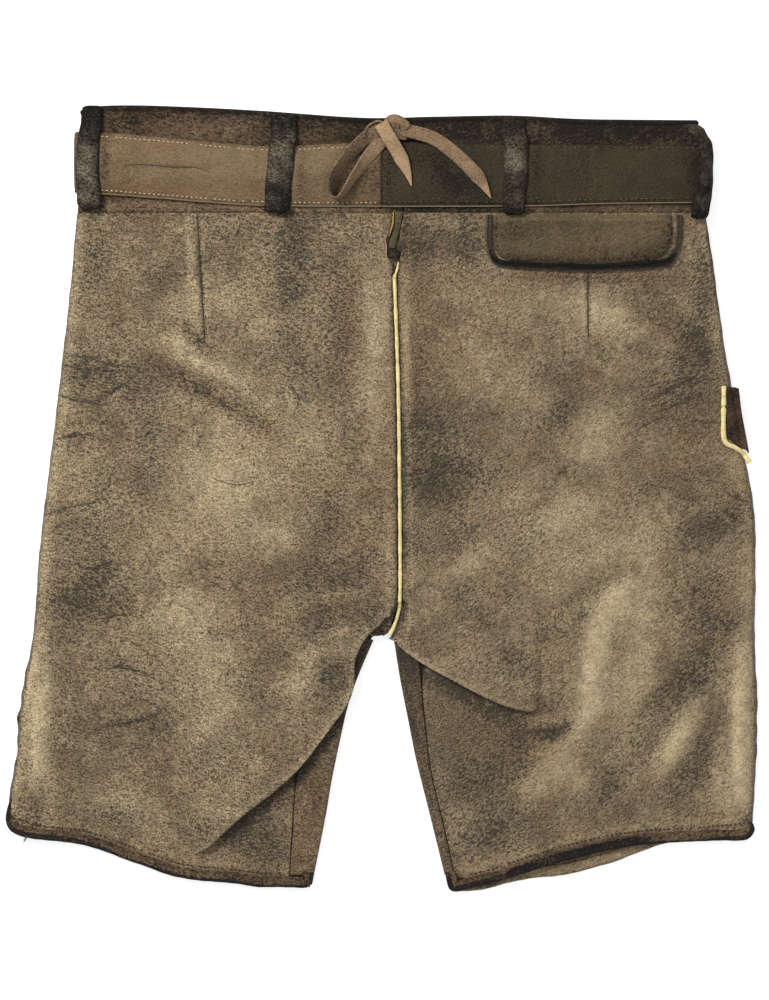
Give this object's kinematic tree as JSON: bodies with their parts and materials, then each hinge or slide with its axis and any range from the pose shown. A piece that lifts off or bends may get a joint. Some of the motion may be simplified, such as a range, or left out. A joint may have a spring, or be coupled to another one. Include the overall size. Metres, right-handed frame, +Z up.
{
  "type": "lederhosen",
  "caption": "Short leather lederhosen laid flat with the back up: worn brown leather, piped centre seam, belt in loops, flapped seat pocket, lace at the waist.",
  "frame": {"origin": "middle of the garment's outline, on the surface it lies on", "axes": "+X to the right as seen from above with the waist away, +Y towards the waist, +Z up from the surface"},
  "size_m": [0.5402, 0.5656, 0.017],
  "materials": {
    "panel_leather": "worn brushed deerskin, mottled olive brown with dark patches",
    "front_leather": "worn brushed deerskin, olive brown",
    "waistband_leather": "darkened by handling, rubbed",
    "belt_leather_light": "rubbed brown strap leather",
    "belt_leather_dark": "dark grained strap leather",
    "loop_leather": "dark worn leather",
    "pocket_flap_leather": "dark grained leather",
    "knife_pocket_leather": "dark brown worn leather",
    "piping_leather": "smooth pale yellow leather",
    "dark_binding": "black brown, rubbed along the edge",
    "notch_leather": "olive, matt",
    "lace_suede": "tan suede",
    "buckle_metal": "dull aged metal"
  },
  "bodies": {
    "root": {"back_left": "panel_leather", "back_right": "panel_leather", "front_left": "front_leather", "front_right": "front_leather", "front_flap": "front_leather", "waistband_left": "waistband_leather", "waistband_right": "waistband_leather", "belt_left": "belt_leather_light", "belt_right": "belt_leather_dark", "belt_buckle": "buckle_metal", "belt_loop_1": "loop_leather", "belt_loop_2": "loop_leather", "belt_loop_3": "loop_leather", "belt_loop_4": "loop_leather", "pocket_flap": "pocket_flap_leather", "pocket_edge": "dark_binding", "knife_pocket": "knife_pocket_leather", "knife_piping": "piping_leather", "centre_piping": "piping_leather", "hem_back_left": "dark_binding", "hem_back_right": "dark_binding", "hem_front_left": "dark_binding", "hem_front_right": "dark_binding", "notch_tongue": "notch_leather", "notch_bar": "dark_binding", "lace_long": "lace_suede", "lace_short": "lace_suede", "lace_bow": "lace_suede", "lace_knot": "lace_suede"}
  },
  "joints": []
}
